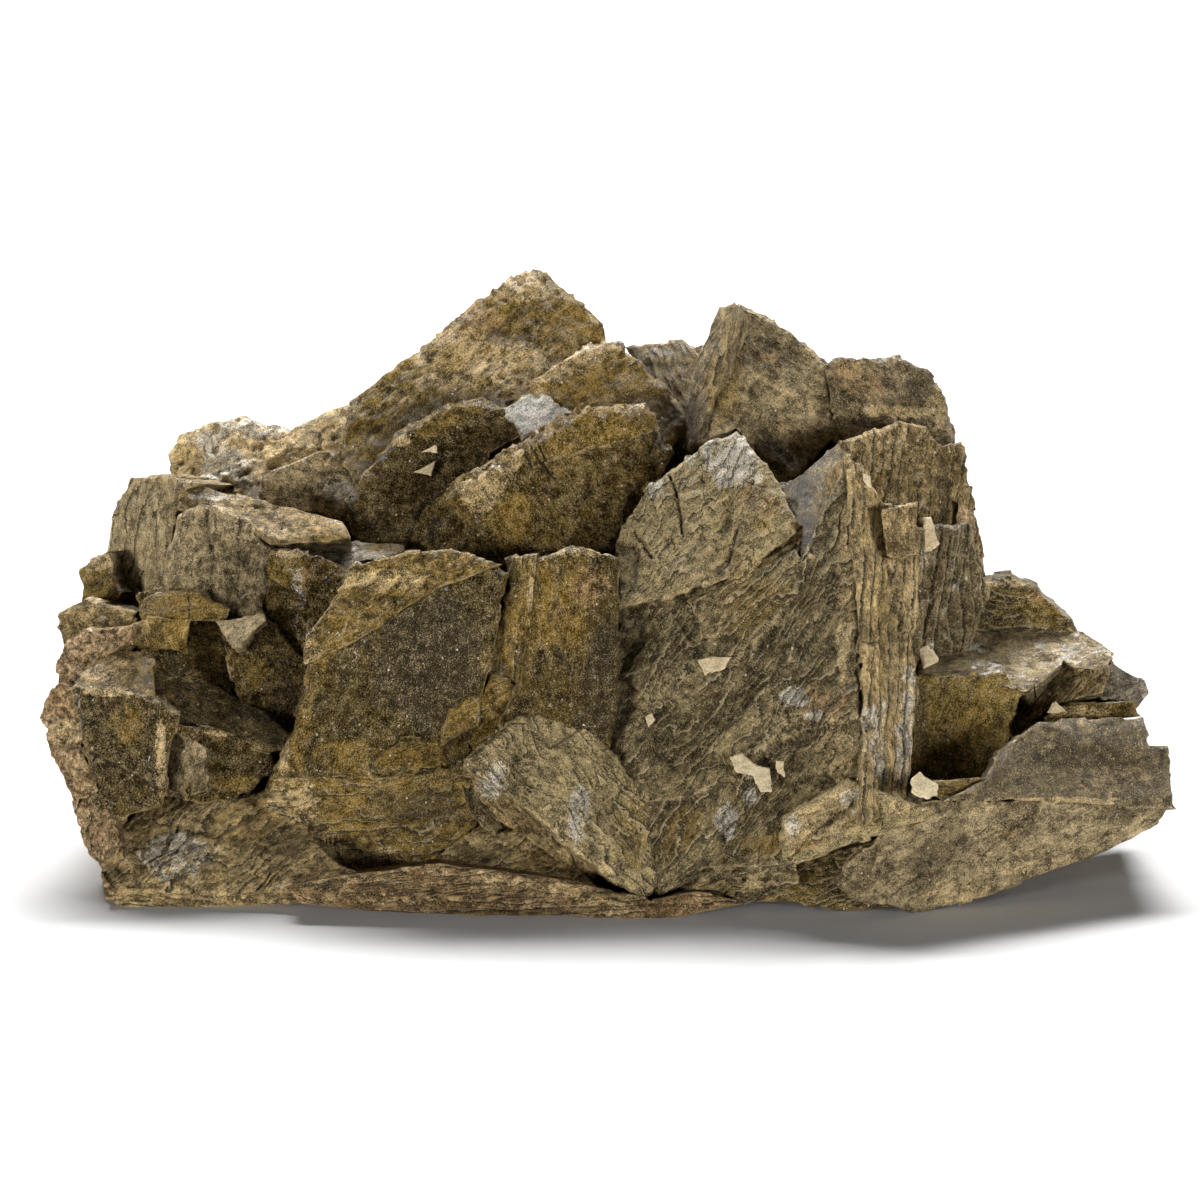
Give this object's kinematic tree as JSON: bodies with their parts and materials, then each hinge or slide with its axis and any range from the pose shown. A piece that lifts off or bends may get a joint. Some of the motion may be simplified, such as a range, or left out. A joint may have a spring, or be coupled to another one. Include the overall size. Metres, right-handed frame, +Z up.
{
  "type": "siderite crystal cluster",
  "caption": "Mineral specimen: a low mound of bladed and rhombic olive-brown crystals grown together, cut flat underneath, with small pale chips on its faces.",
  "frame": {"origin": "middle of the specimen's bounding box, on the flat underside that it rests on", "axes": "+X along the length, towards the end with the projecting blade; +Y from the side with the tall flat faces to the back; +Z up"},
  "size_m": [0.1446, 0.0929, 0.0707],
  "materials": {
    "siderite": "olive-brown to grey-brown crystal faces, vitreous to satin, with tan rind and dark hollows",
    "calcite": "cream-white, satin"
  },
  "bodies": {
    "root": {"siderite_cluster": "siderite", "calcite_flake_large": "calcite", "calcite_flake_small": "calcite", "calcite_flake_golden": "calcite", "calcite_grain": "calcite", "calcite_block": "calcite", "calcite_cube": "calcite", "calcite_splinter": "calcite", "calcite_chip_upper": "calcite", "calcite_chip_right": "calcite", "calcite_streak_upper": "calcite", "calcite_streak_lower": "calcite"}
  },
  "joints": []
}
